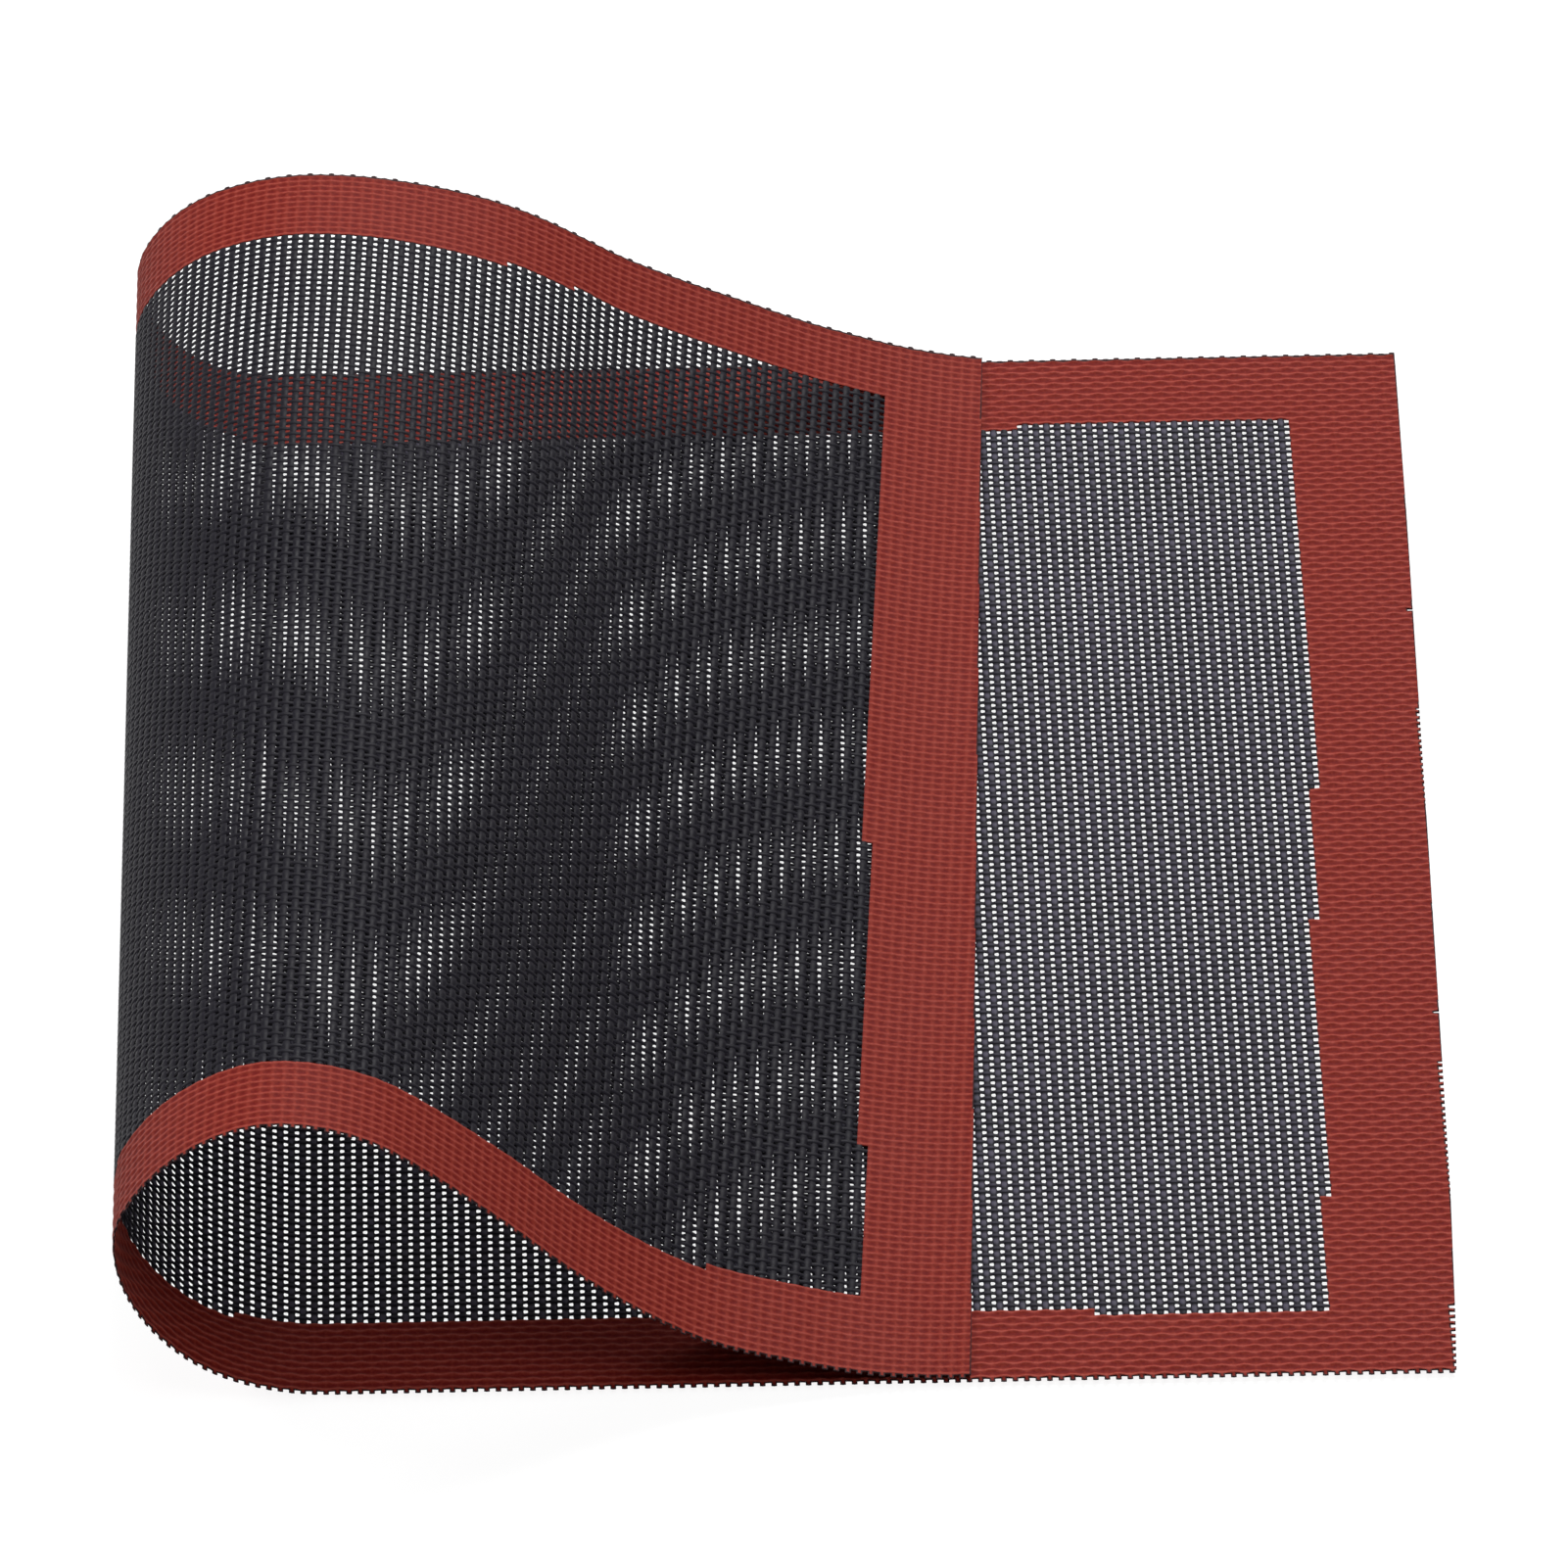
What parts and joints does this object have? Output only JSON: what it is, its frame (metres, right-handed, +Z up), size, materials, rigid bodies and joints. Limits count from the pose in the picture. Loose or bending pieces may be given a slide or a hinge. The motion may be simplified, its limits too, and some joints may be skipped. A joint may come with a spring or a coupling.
{
  "type": "baking mat",
  "caption": "Perforated non-stick baking mat: open woven glass mesh coated with silicone, filled silicone border, folded over on itself; it unrolls flat.",
  "frame": {"origin": "under the middle of the folded mat, on the surface that it lies on", "axes": "+Z up, +X from the loop to the base's end edge, +Y from the near long edge to the far one"},
  "size_m": [0.2222, 0.3, 0.0548],
  "materials": {
    "mesh_silicone": "black silicone coat on open woven glass yarn, satin",
    "border_silicone": "rust-red silicone that fills the weave, matt, with the weave's relief"
  },
  "bodies": {
    "base": {"base_mesh": "mesh_silicone", "base_near_border": "border_silicone", "base_far_border": "border_silicone", "base_end_border": "border_silicone"},
    "fold_01": {"fold_01_mesh": "mesh_silicone", "fold_01_near_border": "border_silicone", "fold_01_far_border": "border_silicone"},
    "fold_02": {"fold_02_mesh": "mesh_silicone", "fold_02_near_border": "border_silicone", "fold_02_far_border": "border_silicone"},
    "fold_03": {"fold_03_mesh": "mesh_silicone", "fold_03_near_border": "border_silicone", "fold_03_far_border": "border_silicone"},
    "fold_04": {"fold_04_mesh": "mesh_silicone", "fold_04_near_border": "border_silicone", "fold_04_far_border": "border_silicone"},
    "fold_05": {"fold_05_mesh": "mesh_silicone", "fold_05_near_border": "border_silicone", "fold_05_far_border": "border_silicone"},
    "fold_06": {"fold_06_mesh": "mesh_silicone", "fold_06_near_border": "border_silicone", "fold_06_far_border": "border_silicone"},
    "fold_07": {"fold_07_mesh": "mesh_silicone", "fold_07_near_border": "border_silicone", "fold_07_far_border": "border_silicone"},
    "fold_08": {"fold_08_mesh": "mesh_silicone", "fold_08_near_border": "border_silicone", "fold_08_far_border": "border_silicone"},
    "fold_09": {"fold_09_mesh": "mesh_silicone", "fold_09_near_border": "border_silicone", "fold_09_far_border": "border_silicone"},
    "fold_10": {"fold_10_mesh": "mesh_silicone", "fold_10_near_border": "border_silicone", "fold_10_far_border": "border_silicone"},
    "fold_11": {"fold_11_mesh": "mesh_silicone", "fold_11_near_border": "border_silicone", "fold_11_far_border": "border_silicone"},
    "fold_12": {"fold_12_mesh": "mesh_silicone", "fold_12_near_border": "border_silicone", "fold_12_far_border": "border_silicone"},
    "fold_13": {"fold_13_mesh": "mesh_silicone", "fold_13_near_border": "border_silicone", "fold_13_far_border": "border_silicone"},
    "fold_14": {"fold_14_mesh": "mesh_silicone", "fold_14_near_border": "border_silicone", "fold_14_far_border": "border_silicone"},
    "flap_end": {"flap_end_border": "border_silicone"}
  },
  "joints": [
    {"name": "unfold", "type": "hinge", "parent": "base", "child": "fold_01", "pos_m": [-0.08045, 0, 0.00035], "axis": [0.0499, -0.9988, 0], "range_deg": [0, 10]},
    {"name": "bend_02", "type": "hinge", "parent": "fold_01", "child": "fold_02", "pos_m": [-0.09132, 0, 0.00227], "axis": [0.0284, -0.9996, 0.0038], "range_deg": [0, 21.55]},
    {"name": "bend_03", "type": "hinge", "parent": "fold_02", "child": "fold_03", "pos_m": [-0.10047, 0, 0.00787], "axis": [0.0217, -0.9997, 0.008], "range_deg": [0, 22.55]},
    {"name": "bend_04", "type": "hinge", "parent": "fold_03", "child": "fold_04", "pos_m": [-0.10684, 0, 0.01664], "axis": [0.015, -0.9997, 0.0171], "range_deg": [0, 24.05]},
    {"name": "bend_05", "type": "hinge", "parent": "fold_04", "child": "fold_05", "pos_m": [-0.10886, 0, 0.02614], "axis": [0.0123, -0.9995, 0.03], "range_deg": [0, 27.05]},
    {"name": "bend_06", "type": "hinge", "parent": "fold_05", "child": "fold_06", "pos_m": [-0.10701, 0, 0.03303], "axis": [0.0126, -0.9994, 0.0313], "range_deg": [0, 24.55]},
    {"name": "bend_07", "type": "hinge", "parent": "fold_06", "child": "fold_07", "pos_m": [-0.10024, 0, 0.04124], "axis": [0.0206, -0.9989, 0.0409], "range_deg": [0, 20.55]},
    {"name": "bend_08", "type": "hinge", "parent": "fold_07", "child": "fold_08", "pos_m": [-0.09102, 0, 0.04656], "axis": [0.0258, -0.9987, 0.0439], "range_deg": [0, 20.55]},
    {"name": "bend_09", "type": "hinge", "parent": "fold_08", "child": "fold_09", "pos_m": [-0.07926, 0, 0.04853], "axis": [-0.0029, -0.9992, 0.0391], "range_deg": [0, 18.05]},
    {"name": "bend_10", "type": "hinge", "parent": "fold_09", "child": "fold_10", "pos_m": [-0.06476, 0, 0.04636], "axis": [-0.0443, -0.998, 0.0453], "range_deg": [0, 15.44]},
    {"name": "bend_11", "type": "hinge", "parent": "fold_10", "child": "fold_11", "pos_m": [-0.04835, 0, 0.0391], "axis": [-0.09, -0.9938, 0.0653], "range_deg": [0, 10.64]},
    {"name": "bend_12", "type": "hinge", "parent": "fold_11", "child": "fold_12", "pos_m": [-0.03422, 0, 0.02836], "axis": [-0.0325, -0.9993, 0.0168], "range_deg": [-1.3, 0]},
    {"name": "bend_13", "type": "hinge", "parent": "fold_12", "child": "fold_13", "pos_m": [-0.01996, 0, 0.0178], "axis": [0.0185, -0.9994, -0.0284], "range_deg": [-9.3, 0]},
    {"name": "bend_14", "type": "hinge", "parent": "fold_13", "child": "fold_14", "pos_m": [-0.00179, 0, 0.0095], "axis": [-0.0068, -0.9998, -0.0195], "range_deg": [-7.69, 0]},
    {"name": "bend_15", "type": "hinge", "parent": "fold_14", "child": "flap_end", "pos_m": [0.01554, 0, 0.00404], "axis": [-0.0245, -0.9997, -0.0092], "range_deg": [-8.94, 0]}
  ],
  "couplings": [
    {"joint": "bend_02", "follows": "unfold", "ratio": 2.15},
    {"joint": "bend_03", "follows": "unfold", "ratio": 2.25},
    {"joint": "bend_04", "follows": "unfold", "ratio": 2.4},
    {"joint": "bend_05", "follows": "unfold", "ratio": 2.7},
    {"joint": "bend_06", "follows": "unfold", "ratio": 2.45},
    {"joint": "bend_07", "follows": "unfold", "ratio": 2.05},
    {"joint": "bend_08", "follows": "unfold", "ratio": 2.05},
    {"joint": "bend_09", "follows": "unfold", "ratio": 1.8},
    {"joint": "bend_10", "follows": "unfold", "ratio": 1.5387},
    {"joint": "bend_11", "follows": "unfold", "ratio": 1.0587},
    {"joint": "bend_12", "follows": "unfold", "ratio": -0.125},
    {"joint": "bend_13", "follows": "unfold", "ratio": -0.925},
    {"joint": "bend_14", "follows": "unfold", "ratio": -0.76373},
    {"joint": "bend_15", "follows": "unfold", "ratio": -0.88873}
  ]
}
